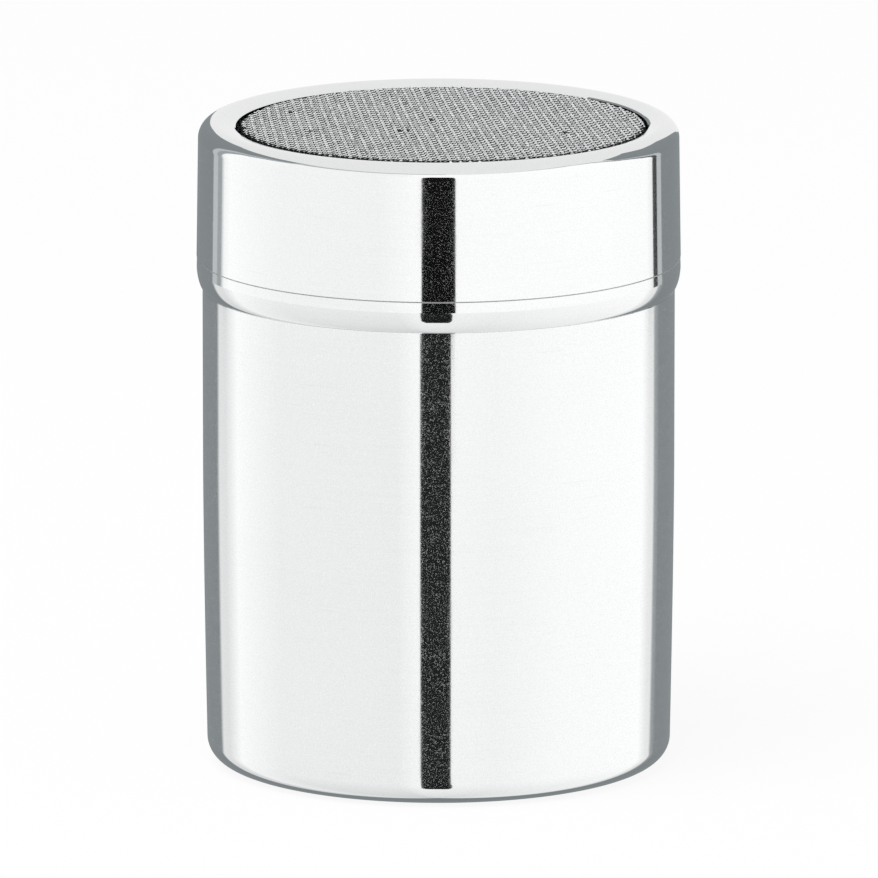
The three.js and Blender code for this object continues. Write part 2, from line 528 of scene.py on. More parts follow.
def revolve(name: str, profile: Profile, segments: int, closed: bool) -> bpy.types.Object:
    """Turns a profile about the Z axis.

    Args:
        name: the piece's name.
        profile: the outline.
        segments: faces round the axis.
        closed: whether the outline comes back to its start. If not, both its ends lie on the axis.

    Returns:
        A closed piece whose faces point outwards.
    """
    rows = []
    for row in profile.rows:
        if not rows or math.dist(row[:2], rows[-1][:2]) > SAME_PLACE:
            rows.append(row)
    if closed and math.dist(rows[0][:2], rows[-1][:2]) < SAME_PLACE:
        rows.pop()
    points, first, faces, inner = [], [], [], []
    for radius, height, face in rows:
        first.append(len(points))
        count = 1 if radius < SAME_PLACE / 2 else segments
        for i in range(count):
            angle = 2 * math.pi * i / segments
            points.append((radius * math.cos(angle), radius * math.sin(angle), height))
            inner.append(face.value)
    pairs = list(zip(range(len(rows)), range(1, len(rows))))
    if closed:
        pairs.append((len(rows) - 1, 0))
    for low, high in pairs:
        low_count, high_count = (1 if rows[end][0] < SAME_PLACE / 2 else segments for end in (low, high))
        for i in range(segments):
            j = (i + 1) % segments
            corners = (first[low] + i % low_count, first[low] + j % low_count,
                       first[high] + j % high_count, first[high] + i % high_count)
            faces.append(tuple(dict.fromkeys(corners)))
    piece = new_piece(name, points, faces)
    piece.data.attributes.new("inner_face", "FLOAT", "POINT").data.foreach_set("value", inner)
    piece.data.polygons.foreach_set("use_smooth", [True] * len(faces))
    return piece


def bake_tree(piece: bpy.types.Object, tree: bpy.types.NodeTree, values: Mapping[str, Any]) -> None:
    """Runs a Geometry Nodes tree on a piece and keeps the result as its plain mesh.

    Args:
        piece: the piece.
        tree: the tree.
        values: the value of each of the tree's inputs, by name.
    """
    modifier = piece.modifiers.new(tree.name, "NODES")
    modifier.node_group = tree
    names = {item.name: item.identifier for item in tree.interface.items_tree if item.in_out == "INPUT"}
    for name, value in values.items():
        modifier[names[name]] = value
    depsgraph = bpy.context.evaluated_depsgraph_get()
    mesh = bpy.data.meshes.new_from_object(piece.evaluated_get(depsgraph), preserve_all_data_layers=True,
                                           depsgraph=depsgraph)
    piece.modifiers.remove(modifier)
    spare, piece.data = piece.data, mesh
    mesh.name = piece.name
    bpy.data.meshes.remove(spare)


def settle(piece: bpy.types.Object, body: str, crease_angle: float = 38.0) -> None:
    """Keeps crisp edges crisp, and hands a finished piece to its body.

    Args:
        piece: the finished piece.
        body: the CAD body that it rides on.
        crease_angle: faces that meet at more than this many degrees keep a sharp edge.
    """
    piece.data.set_sharp_from_angle(angle=math.radians(crease_angle))
    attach(piece, body)
    piece.data.calc_loop_triangles()
    LOG.info("%s: %d triangles, rides on %s", piece.name, len(piece.data.loop_triangles), body)


def thread_tree() -> bpy.types.NodeTree:
    """Builds the tree that rolls a screw thread into both faces of a sheet.

    Across a turn the thread is half as wide as its lead, with the square of a cosine as its section. At each
    end it fades out over a quarter of the lead.

    Returns:
        The geometry node group.
    """
    tree = bpy.data.node_groups.new("Rolled Thread", "GeometryNodeTree")
    inputs = {
        "Geometry": ("NodeSocketGeometry", None),
        "Lead": ("NodeSocketFloat", 5 * MM),
        "Depth": ("NodeSocketFloat", 0.7 * MM),
        "Low": ("NodeSocketFloat", 76 * MM),
        "High": ("NodeSocketFloat", 84 * MM),
        "Direction": ("NodeSocketFloat", 1.0),
        "Half Turn": ("NodeSocketFloat", 0.0),
        "Material": ("NodeSocketMaterial", None),
    }
    given, result = named_sockets(tree, inputs, {"Geometry": "NodeSocketGeometry"})
    wiring = Wiring(tree)
    value = given.outputs
    x, y, z = wiring.split(wiring.add("GeometryNodeInputPosition").outputs[0])
    round_share = wiring.math("DIVIDE", wiring.math("ARCTAN2", y, x), 2 * math.pi)
    turns = wiring.math("SUBTRACT", wiring.math("DIVIDE", z, value["Lead"]), round_share)
    turns = wiring.math("ADD", turns, value["Half Turn"])
    from_crest = wiring.math("SUBTRACT", wiring.math("FRACT", turns), 0.5)
    near = wiring.math("LESS_THAN", wiring.math("ABSOLUTE", from_crest), 0.25)
    wave = wiring.math("COSINE", wiring.product(from_crest, 2 * math.pi))
    wave = wiring.product(near, wiring.math("POWER", wave, 2.0))
    fade = wiring.math("DIVIDE", value["Lead"], 4.0)
    begun = wiring.ramp(z, value["Low"], wiring.math("ADD", value["Low"], fade))
    not_ended = wiring.ramp(z, wiring.math("SUBTRACT", value["High"], fade), value["High"], 1.0, 0.0)
    rise = wiring.product(wave, wiring.product(wiring.product(begun, not_ended), value["Depth"]))
    rise = wiring.product(rise, value["Direction"])
    outward = wiring.vector("NORMALIZE", wiring.combine(x, y)).outputs[0]
    moved = wiring.add("GeometryNodeSetPosition", {
        "Geometry": value["Geometry"], "Offset": wiring.scaled(outward, rise)}).outputs[0]
    wiring.finish(result, moved, value["Material"])
    return tree


def weave(wiring: Wiring, value: Any) -> bpy.types.NodeSocket:
    """Adds the nodes that weave one set of wires, level and about the origin.

    A grid is cut to rows and to a disc. Each row becomes one wire, which goes over and under the wires that
    cross it.

    Args:
        wiring: the cloth tree's wiring.
        value: the tree's inputs.

    Returns:
        The wires, turned the way that they run.
    """
    rows = wiring.math("CEIL", wiring.math("DIVIDE", value["Reach"], value["Pitch"]))
    crossings = wiring.math("CEIL", wiring.math("DIVIDE", value["Reach"], value["Cross Pitch"]))
    grid = wiring.add("GeometryNodeMeshGrid", {
        "Size X": wiring.product(wiring.product(crossings, 2.0), value["Cross Pitch"]),
        "Size Y": wiring.product(wiring.product(rows, 2.0), value["Pitch"]),
        "Vertices X": wiring.math("MULTIPLY_ADD", crossings, 6.0, 1.0),
        "Vertices Y": wiring.math("MULTIPLY_ADD", rows, 2.0, 1.0),
    }).outputs["Mesh"]
    ends = wiring.add("GeometryNodeInputMeshEdgeVertices").outputs
    edge = wiring.vector("SUBTRACT", ends["Position 1"], ends["Position 2"]).outputs[0]
    across = wiring.math("ABSOLUTE", wiring.split(edge)[1])
    between_rows = wiring.above(across, wiring.product(value["Pitch"], 0.25))
    lines = wiring.add("GeometryNodeDeleteGeometry", {"Geometry": grid, "Selection": between_rows},
                       domain="EDGE", mode="EDGE_FACE").outputs[0]
    x, y, _ = wiring.split(wiring.add("GeometryNodeInputPosition").outputs[0])
    from_middle = wiring.vector("LENGTH", wiring.combine(x, y)).outputs["Value"]
    outside = wiring.above(from_middle, value["Reach"])
    disc = wiring.add("GeometryNodeDeleteGeometry", {"Geometry": lines, "Selection": outside},
                      domain="POINT", mode="ALL").outputs[0]
    wires = wiring.add("GeometryNodeMeshToCurve", {"Mesh": disc}).outputs[0]
    over = wiring.math("COSINE", wiring.product(x, wiring.math("DIVIDE", math.pi, value["Cross Pitch"])))
    row = wiring.math("COSINE", wiring.product(y, wiring.math("DIVIDE", math.pi, value["Pitch"])))
    crimp = wiring.product(wiring.product(over, row), wiring.product(value["Crimp"], value["Side"]))
    crimp = wiring.math("MULTIPLY_ADD", row, value["Ridge"], crimp)
    crimp = wiring.math("MULTIPLY_ADD", over, value["Swell"], crimp)
    woven = wiring.add("GeometryNodeSetPosition", {
        "Geometry": wires, "Offset": wiring.combine(0.0, 0.0, crimp)}).outputs[0]
    ring = wiring.add("GeometryNodeCurvePrimitiveCircle", {
        "Resolution": value["Sides"], "Radius": value["Wire Radius"]}).outputs[0]
    tubes = wiring.add("GeometryNodeCurveToMesh", {
        "Curve": woven, "Profile Curve": ring, "Fill Caps": True}).outputs[0]
    return wiring.add("GeometryNodeTransform", {
        "Geometry": tubes, "Rotation": wiring.combine(0.0, 0.0, value["Turn"])}).outputs[0]


def cloth_tree() -> bpy.types.NodeTree:
    """Builds the tree that makes one set of wires of a plain-woven cloth.

    The second set is the same tree a quarter turn away, with the wave the other way round. The cloth has a
    low dome and a ripple, and its wires lean a little apart. Every point stores its height in the weave as
    crest, which the finish reads to paint shade between the wires. Outside the dome the crest is lowered, and
    by the rim, most on the near side, it is lowered further: painted shade under and beside the rim.

    Returns:
        The geometry node group.
    """
    tree = bpy.data.node_groups.new("Woven Wires", "GeometryNodeTree")
    sizes = {
        "Pitch": 0.667, "Cross Pitch": 0.8, "Wire Radius": 0.118, "Crimp": 0.2, "Ridge": 0.06, "Swell": 0.0,
        "Reach": 32.3, "Height": 92.4, "Dome": 0.8, "Dome Foot": 29.4, "Dome Edge": 29.1, "Ripple": 0.12,
        "Depth": 0.36, "Rim Shade Start": -0.7, "Rim Shade End": 0.3,
    }
    numbers = {
        "Fan": 1.7, "Turn": 0.0, "Side": 1.0, "Edge Shade Depth": 1.5, "Rim Shade Level": 0.75, "Rim Shade Depth": 2.0,
    }
    inputs = {"Geometry": ("NodeSocketGeometry", None)}
    inputs |= {name: ("NodeSocketFloat", size * MM) for name, size in sizes.items()}
    inputs |= {name: ("NodeSocketFloat", number) for name, number in numbers.items()}
    inputs |= {
        "Off Centre": ("NodeSocketVector", (0.6 * MM, 0.35 * MM, 0.0)),
        "Rim Shade Side": ("NodeSocketVector", (0.0, 1.4 * MM, 0.0)),
        "Sides": ("NodeSocketInt", 5),
        "Material": ("NodeSocketMaterial", None),
    }
    given, result = named_sockets(tree, inputs, {"Geometry": "NodeSocketGeometry"})
    wiring = Wiring(tree)
    value = given.outputs
    place = wiring.add("GeometryNodeInputPosition").outputs[0]
    x, y, z = wiring.split(place)
    level = wiring.combine(x, y)
    out = wiring.distance(level, value["Off Centre"])
    raised_share = wiring.ramp(out, value["Dome Edge"], value["Dome Foot"], 1.0, 0.0)
    # Painted shade under the rim: outside the dome the crest is lowered, so the wires there are darkened.
    lowered = wiring.product(wiring.math("SUBTRACT", 1.0, raised_share), value["Edge Shade Depth"])
    crest = wiring.math("SUBTRACT", wiring.math("DIVIDE", z, value["Depth"]), lowered)
    # Painted shadow of the rim: near the rim, mostly on the near side, wires low in the weave are darkened
    # further.
    shade_middle = wiring.vector("ADD", value["Off Centre"], value["Rim Shade Side"]).outputs[0]
    far = wiring.math("SUBTRACT", wiring.distance(level, shade_middle), value["Dome Edge"])
    shade_mask = wiring.ramp(far, value["Rim Shade Start"], value["Rim Shade End"])
    below = wiring.math("MAXIMUM", wiring.math("SUBTRACT", value["Rim Shade Level"], crest), 0.0)
    below = wiring.product(below, value["Rim Shade Depth"])
    crest = wiring.math("SUBTRACT", crest, wiring.product(shade_mask, below))
    stored = wiring.add("GeometryNodeStoreNamedAttribute", {
        "Geometry": weave(wiring, value), "Name": "crest", "Value": crest},
        data_type="FLOAT", domain="POINT").outputs[0]
    ripple = wiring.math("SUBTRACT", wiring.noise(place, 55.0, 2.0, 21.0), 0.5)
    bow = wiring.math("SUBTRACT", wiring.noise(place, 90.0, 1.0, 22.0), 0.5)
    rise = wiring.product(ripple, value["Ripple"])
    rise = wiring.math("MULTIPLY_ADD", rise, raised_share, value["Height"])
    rise = wiring.math("MULTIPLY_ADD", raised_share, value["Dome"], rise)
    lean = wiring.product(wiring.product(x, y), wiring.product(value["Fan"], -1.0))
    lean = wiring.math("MULTIPLY_ADD", bow, wiring.product(value["Ripple"], 2.0), lean)
    shift = wiring.combine(wiring.product(lean, raised_share), 0.0, rise)
    raised = wiring.add("GeometryNodeSetPosition", {"Geometry": stored, "Offset": shift}).outputs[0]
    smooth = wiring.add("GeometryNodeSetShadeSmooth", {"Geometry": raised, "Shade Smooth": True}).outputs[0]
    wiring.finish(result, smooth, value["Material"])
    return tree


# Sub-assemblies


@dataclass(frozen=True)
class ScrewThread:
    """Rolled thread that the neck and the sleeve share."""

    lead: float = 5 * MM
    depth: float = 0.7 * MM
    turns: float = 1.5
    rise: float = 7 * MM
    gap: float = 0.4 * MM
    row_spacing: float = 0.22 * MM

    def low(self, shoulder_top: float) -> float:
        """Height where the thread begins."""
        return shoulder_top + self.rise

    def high(self, shoulder_top: float) -> float:
        """Height where the thread ends."""
        return self.low(shoulder_top) + self.turns * self.lead

    def roll(self, piece: bpy.types.Object, tree: bpy.types.NodeTree, way: Thread, shoulder_top: float,
             material: bpy.types.Material) -> None:
        """Rolls the thread into a piece.

        Args:
            piece: the neck's or the sleeve's piece.
            tree: the thread's tree.
            way: out of the neck or into the sleeve.
            shoulder_top: the height that the thread is measured from.
            material: the piece's material.
        """
        bake_tree(piece, tree, {
            "Lead": self.lead, "Depth": self.depth, "Direction": way.value, "Material": material,
            "Low": self.low(shoulder_top), "High": self.high(shoulder_top),
            "Half Turn": 0.0 if way is Thread.OUT else 0.5,
        })


@dataclass(frozen=True)
class Canister:
    """Deep-drawn cup: raised panel in the base, straight wall, shoulder, threaded neck and folded lip."""

    body_radius: float = 34.15 * MM
    neck_radius: float = 32.3 * MM
    sheet: float = 0.6 * MM
    base_corner: float = 3.3 * MM
    foot_taper: float = 0.53 * MM
    taper_height: float = 44 * MM
    panel_radius: float = 23.5 * MM
    panel_rise: float = 0.8 * MM
    panel_slope: float = 1.2 * MM
    panel_bend: float = 0.6 * MM
    shoulder_top: float = 69.35 * MM
    shoulder_corner: float = 0.05 * MM
    shoulder_edge: float = 69.57 * MM
    neck_fillet: float = 0.5 * MM
    lip_height: float = 2.2 * MM
    segments: int = 224

    def wall(self, profile: Profile, inset: float, thread: ScrewThread, upwards: bool) -> None:
        """Adds one face of the sheet, from the axis out over the base, up the wall and up the neck.

        Args:
            profile: the outline that it goes into.
            inset: how far the face lies inside the outer one.
            thread: the thread, which needs close rows.
            upwards: whether it runs from the base to the neck or back.
        """
        face = Profile(support=profile.support)
        foot = self.body_radius - self.foot_taper
        corner = self.base_corner - inset
        face.start(0.0, self.panel_rise + inset)
        low = self.panel_radius - self.panel_bend
        high = self.panel_radius + self.panel_slope + self.panel_bend
        face.run(low, self.panel_rise + inset, 3 * MM)
        face.through([(low + (high - low) * s, inset + self.panel_rise * (1 - s * s * (3 - 2 * s)))
                      for s in parts(12)])
        face.arc((foot - self.base_corner, self.base_corner), (corner, corner), -90, 0, 14)
        rise = self.taper_height - self.base_corner
        face.through([(foot - inset + self.foot_taper * (1 - (1 - s) ** 1.5), self.base_corner + rise * s)
                      for s in parts(16)])
        bend, wall = self.shoulder_corner, self.body_radius - inset
        face.arc((wall - bend, self.shoulder_edge - inset - bend), (bend, bend), 0, 100, 6)
        face.run(wall - 3 * bend, self.shoulder_top - inset)
        round_in = self.neck_fillet + inset
        face.arc((self.neck_radius + self.neck_fillet, self.shoulder_top + self.neck_fillet),
                 (round_in, round_in), 270, 180, 6)
        radius = self.neck_radius - inset
        face.run(radius, thread.low(self.shoulder_top))
        face.run(radius, thread.high(self.shoulder_top), thread.row_spacing)
        rows = [(r, z) for r, z, _ in face.rows]
        profile.through(rows if upwards else rows[::-1])

    def build(self, tree: bpy.types.NodeTree, thread: ScrewThread, steel: bpy.types.Material) -> None:
        """Builds the canister and dresses it.

        Args:
            tree: the thread's tree.
            thread: the thread's sizes.
            steel: the canister's finish.
        """
        neck_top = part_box("canister")[1].z
        profile = Profile()
        profile.start(0.0, self.panel_rise)
        self.wall(profile, 0.0, thread, True)
        middle = self.neck_radius - self.sheet
        profile.arc((middle, neck_top - self.sheet), (self.sheet, self.sheet), 0, 180, 12)
        lip_bottom = neck_top - self.lip_height
        profile.run(middle - self.sheet, lip_bottom)
        profile.turn_to(Face.INNER)
        profile.run(middle, lip_bottom - self.sheet / 2)
        self.wall(profile, self.sheet, thread, False)
        piece = revolve("polished_canister", profile, self.segments, False)
        thread.roll(piece, tree, Thread.OUT, self.shoulder_top, steel)
        settle(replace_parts(piece, "canister"), "canister")


@dataclass(frozen=True)
class LidSkin:
    """Pressed lid skin: rounded rim, flared wall, crease, and a bead whose edge turns in."""

    height: float = 94 * MM
    bottom: float = 69.365 * MM
    radius: float = 35 * MM
    flare: float = 0.25 * MM
    sheet: float = 0.55 * MM
    rim_opening: float = 29.75 * MM
    rim_corner: float = 2.5 * MM
    rim_depth: float = 2 * MM
    rim_dip: float = 0.6 * MM
    lip_dip: float = 0.7 * MM
    lip_shape: float = 1.25
    lip_end: float = 0.9
    lip_tip: Point = (0.24 * MM, 0.22 * MM)
    lip_undercut: float = 0.4 * MM
    hole_offset: float = 0.45 * MM
    crease_middle: float = 74.2 * MM
    crease_width: float = 0.2 * MM
    crease_depth: float = 0.16 * MM
    shade_share: float = 0.35
    bead_swell: float = 0.06 * MM
    curl_width: float = 1.35 * MM
    curl_height: float = 3.8 * MM
    curl_end: float = 8.0
    curl_support: float = 0.7
    hem_opening: float = 33.4 * MM
    segments: int = 256

    def skin(self, inset: float) -> list[Point]:
        """Gives one face of the skin, from the hem's edge up the wall and over the rim to its opening.

        Args:
            inset: how far the face lies inside the outer one.

        Returns:
            Its points.
        """
        face = Profile()
        face.start(self.hem_opening, self.bottom + inset)
        middle = (self.radius - self.curl_width, self.bottom + self.curl_height)
        radii = (self.curl_width - inset, self.curl_height - inset)
        last_row = -self.curl_end - self.curl_support
        face.arc(middle, radii, -90, last_row, 16)
        face.arc(middle, radii, last_row, -self.curl_end, 1)
        wall, half, depth = self.radius - inset, self.crease_width / 2, self.crease_depth
        face.run(wall - self.bead_swell, self.crease_middle - half)
        face.through([(wall - self.bead_swell * (1 - t) / 2 - depth * math.cos(math.pi / 2 * t) ** 2,
                       self.crease_middle + half * t)
                      for t in (2 * s - 1 for s in parts(10))])
        crest = self.radius - self.flare - self.rim_corner
        corner = self.rim_corner - inset
        face.arc((crest, self.height - self.rim_corner), (corner, corner), 0, 90, 16)
        top, power = self.height - inset, self.lip_shape
        for share in parts(14):
            t = self.lip_end * math.sin(math.pi / 2 * share)
            drop = self.rim_dip * t * t if inset else self.lip_dip * (1 - (1 - t ** power) ** (1 / power))
            face.through([(crest + (self.rim_opening - crest) * t, top - drop)])
        return [(r, z) for r, z, _ in face.rows]

    def shift_hole(self, piece: bpy.types.Object) -> None:
        """Moves the hole a little to one side, as it is punched, and the rim less and less up to its crest.

        The crest stays in place, and so does what lies lower than the rim.

        Args:
            piece: the lid's skin.
        """
        crest = self.radius - self.flare - self.rim_corner
        for vertex in piece.data.vertices:
            share = (crest - math.hypot(vertex.co.x, vertex.co.y)) / (crest - self.rim_opening)
            if share > 0 and vertex.co.z > self.height - self.rim_depth:
                vertex.co.x += self.hole_offset * share

    def build(self, steel: bpy.types.Material) -> None:
        """Builds the lid's skin and dresses it.

        Args:
            steel: the skin's finish.
        """
        outer, inner = self.skin(0.0), self.skin(self.sheet)
        profile = Profile()
        profile.start(*outer[0])
        profile.through(outer[1:])
        tip, tip_height = outer[-1][0] - self.lip_tip[0], outer[-1][1] - self.lip_tip[1]
        profile.run(tip, tip_height)
        profile.run(tip + self.lip_undercut, inner[-1][1])
        # Rows deep in the crease are marked CREASE, where the finish paints shade.
        shade_radius = self.radius - self.crease_depth * self.shade_share
        for place, (r, z, _) in enumerate(profile.rows):
            if abs(z - self.crease_middle) < self.crease_width / 2 and r < shade_radius:
                profile.rows[place] = (r, z, Face.CREASE)
        profile.turn_to(Face.INNER)
        profile.through([(r, z) for r, z in reversed(inner) if r > tip + self.lip_undercut])
        profile.run(*outer[0])
        piece = revolve("lid_skin", profile, self.segments, True)
        self.shift_hole(piece)
        piece.data.materials.append(steel)
        settle(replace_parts(piece, "lid_shell"), "lid")


@dataclass(frozen=True)
class InnerSleeve:
    """Sleeve inside the lid: foot held by the bead, thread rolled inwards, flange under the ring."""

    radius: float = 33.9 * MM
    sheet: float = 0.5 * MM
    corner: float = 1 * MM
    flange_inside: float = 30.35 * MM
    gap: float = 0.3 * MM
    below_crease: float = 0.45 * MM
    segments: int = 192

    def build(self, tree: bpy.types.NodeTree, thread: ScrewThread, lid: LidSkin, shoulder_top: float,
              steel: bpy.types.Material) -> None:
        """Builds the sleeve and dresses it.

        Args:
            tree: the thread's tree.
            thread: the thread's sizes.
            lid: the skin whose bead holds the sleeve's foot.
            shoulder_top: the height that the thread is measured from.
            steel: the sleeve's finish.
        """
        inside, off = self.radius - self.sheet, lid.sheet + self.gap
        bead = (lid.radius - lid.curl_width, lid.bottom + lid.curl_height)
        low, high = thread.low(shoulder_top), thread.high(shoulder_top)
        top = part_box("threaded_sleeve")[1].z
        corner = (self.radius - self.corner, top - self.corner)
        bend = self.corner - self.sheet
        bead_top = lid.crease_middle - self.below_crease
        profile = Profile()
        profile.start(inside, lid.bottom + off)
        profile.arc(bead, (lid.curl_width - off, lid.curl_height - off), -90, 0, 8)
        profile.run(lid.radius - off, bead_top - self.gap)
        profile.run(self.radius, bead_top)
        profile.run(self.radius, low)
        profile.run(self.radius, high, thread.row_spacing)
        profile.arc(corner, (self.corner, self.corner), 0, 90, 6)
        profile.run(self.flange_inside, top)
        profile.run(self.flange_inside, top - self.sheet)
        profile.turn_to(Face.INNER)
        profile.arc(corner, (bend, bend), 90, 0, 5)
        profile.run(inside, high)
        profile.run(inside, low, thread.row_spacing)
        profile.run(inside, lid.bottom + off)
        piece = revolve("inner_sleeve", profile, self.segments, True)
        thread.roll(piece, tree, Thread.IN, shoulder_top, steel)
        settle(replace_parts(piece, "threaded_sleeve"), "lid")


@dataclass(frozen=True)
class ScreenPack:
    """Woven cloth and the hoop that presses it up to the rim.

    The wires that run across the shaker carry the deep wave, and those that run from front to back are
    almost straight.
    """

    ring_inside: float = 30.35 * MM
    ring_sheet: float = 0.6 * MM
    pitch: float = 0.667 * MM
    cross_pitch: float = 0.8 * MM
    wire_radius: float = 0.118 * MM
    cross_crimp: float = 0.2 * MM
    long_crimp: float = 0.05 * MM
    reach: float = 32.3 * MM
    dome: float = 0.8 * MM
    dome_foot: float = 29.4 * MM
    dome_edge: float = 29.1 * MM
    off_centre: Place = (0.6 * MM, 0.35 * MM, 0.0)
    # Moves the centre of the rim's painted shadow towards the back, so that the shadow falls mostly on the
    # near side.
    rim_shade_side: Place = (0.0, 1.4 * MM, 0.0)
    ripple: float = 0.12 * MM
    ridge: float = 0.06 * MM
    lift: float = 0.1 * MM
    fan: float = 1.7
    turn: float = 6.0
    sides: int = 5
    segments: int = 192

    def build_ring(self, steel: bpy.types.Material) -> None:
        """Builds the clamp ring and dresses it.

        Args:
            steel: the ring's finish.
        """
        low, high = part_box("screen_ring")
        bottom, top, radius, sheet = low.z, high.z, high.x, self.ring_sheet
        profile = Profile()
        profile.start(self.ring_inside, bottom)
        profile.arc((radius - sheet, bottom + sheet), (sheet, sheet), -90, 0, 8)
        profile.run(radius, top)
        profile.run(radius - sheet, top)
        profile.turn_to(Face.INNER)
        profile.run(radius - sheet, bottom + sheet)
        profile.run(self.ring_inside, bottom + sheet)
        profile.run(self.ring_inside, bottom)
        piece = revolve("clamp_ring", profile, self.segments, True)
        piece.data.materials.append(steel)
        settle(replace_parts(piece, "screen_ring"), "lid_lift")

    def build_cloth(self, tree: bpy.types.NodeTree, finishes: Mapping[Layer, bpy.types.Material]) -> None:
        """Builds the two sets of wires and dresses them.

        Args:
            tree: the cloth's tree.
            finishes: each set's finish.
        """
        low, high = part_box("mesh_screen")
        middle = (low.z + high.z) / 2 + self.lift
        shared = {
            "Wire Radius": self.wire_radius, "Reach": self.reach, "Height": middle, "Dome": self.dome,
            "Dome Foot": self.dome_foot, "Dome Edge": self.dome_edge, "Off Centre": self.off_centre,
            "Rim Shade Side": self.rim_shade_side, "Ripple": self.ripple, "Fan": self.fan, "Sides": self.sides,
        }
        own = {
            Layer.ACROSS: {"Pitch": self.cross_pitch, "Cross Pitch": self.pitch, "Crimp": self.cross_crimp,
                           "Ridge": 0.0, "Swell": self.ridge},
            Layer.FRONT_TO_BACK: {"Pitch": self.pitch, "Cross Pitch": self.cross_pitch,
                                  "Crimp": self.long_crimp, "Ridge": self.ridge, "Swell": 0.0},
        }
        for layer, wire in finishes.items():
            turn, side = layer.value
            piece = new_piece(f"cloth_{layer.name.lower()}")
            turned = {"Turn": math.radians(turn + self.turn), "Side": side, "Material": wire}
            bake_tree(piece, tree, shared | own[layer] | turned)
            settle(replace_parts(piece, "mesh_screen"), "lid", 80.0)


# Studio


def blend(pairs: Sequence[Point], place: float) -> float:
    """Reads a place's value from an ordered list of places and values, along straight lines between them.

    Args:
        pairs: the places, each with its value.
        place: the place.

    Returns:
        Its value. Before the first place and after the last one it stays the same.
    """
    if place <= pairs[0][0]:
        return pairs[0][1]
    for (first, start), (last, end) in zip(pairs, pairs[1:]):
        if place <= last:
            return start + (end - start) * (place - first) / (last - first)
    return pairs[-1][1]


@dataclass(frozen=True)
class Card:
    """One reflector round the shaker, as polished steel shows it.

    Directions are in degrees from the camera's side: azimuth to the right, elevation upwards. The tones and
    the two edges are pairs of an azimuth and a value, from left to right. The tone at the low edge is a share
    of the tone at the high edge.
    """

    name: str
    tones: tuple[Point, ...]
    low: tuple[Point, ...]
    high: tuple[Point, ...]
    low_share: float = 1.0
    step: float = 6.0

    def azimuths(self) -> list[float]:
        """Gives the azimuths between which the card is flat."""
        marks = sorted({azimuth for pairs in (self.tones, self.low, self.high) for azimuth, _ in pairs})
        found = marks[:1]
        for first, last in zip(marks, marks[1:]):
            count = max(1, math.ceil((last - first) / self.step))
            found += [first + (last - first) * share for share in parts(count)]
        return found

    def grid(self) -> list[list[tuple[float, float, float]]]:
        """Gives the card's points by column, each with its azimuth, elevation and brightness."""
        columns = self.azimuths()
        edges = [(blend(self.low, azimuth), blend(self.high, azimuth)) for azimuth in columns]
        rows = max(1, math.ceil(max(high - low for low, high in edges) / self.step))
        points = []
        for azimuth, (low, high) in zip(columns, edges):
            tone = blend(self.tones, azimuth)
            column = []
            for share in (0.0, *parts(rows)):
                brightness = tone * (self.low_share + (1 - self.low_share) * share)
                column.append((azimuth, low + (high - low) * share, brightness))
            points.append(column)
        return points


